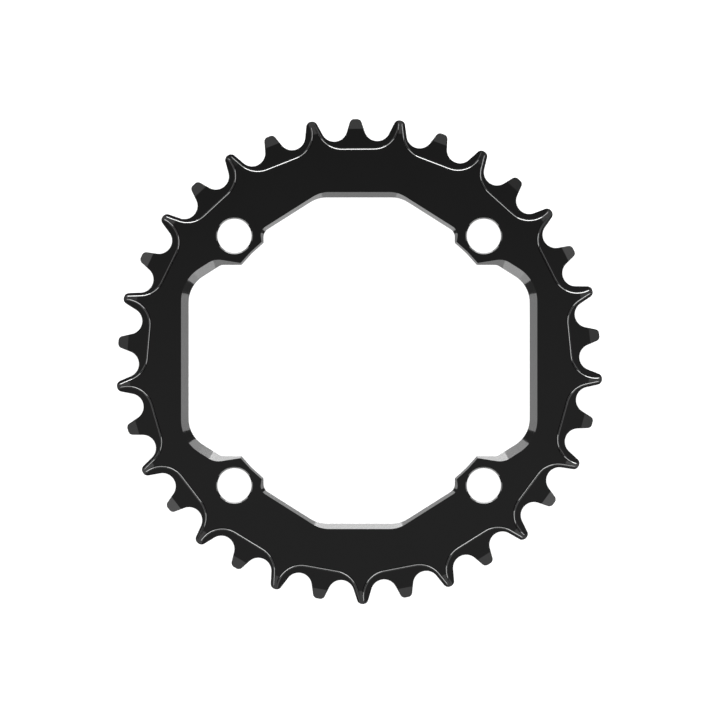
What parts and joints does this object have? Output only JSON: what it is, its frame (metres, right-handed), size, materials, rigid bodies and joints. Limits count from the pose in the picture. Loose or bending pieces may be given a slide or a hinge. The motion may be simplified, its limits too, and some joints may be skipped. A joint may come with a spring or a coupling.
{
  "type": "bicycle chainring",
  "caption": "Flat toothed ring that drives a bicycle chain, with alternating narrow and wide teeth, four bolt lobes and an open middle.",
  "frame": {"origin": "centre of the bolt circle, half way through the plate, where the middle of the chain runs", "axes": "+Z along the ring's axis, out of the front face; +X and +Y are the picture's right and up, with the bolts on the diagonals between them"},
  "size_m": [0.1431, 0.143, 0.0038],
  "materials": {
    "anodised_aluminium": "black anodised, semi-gloss"
  },
  "bodies": {
    "root": {"chainring": "anodised_aluminium"}
  },
  "joints": []
}
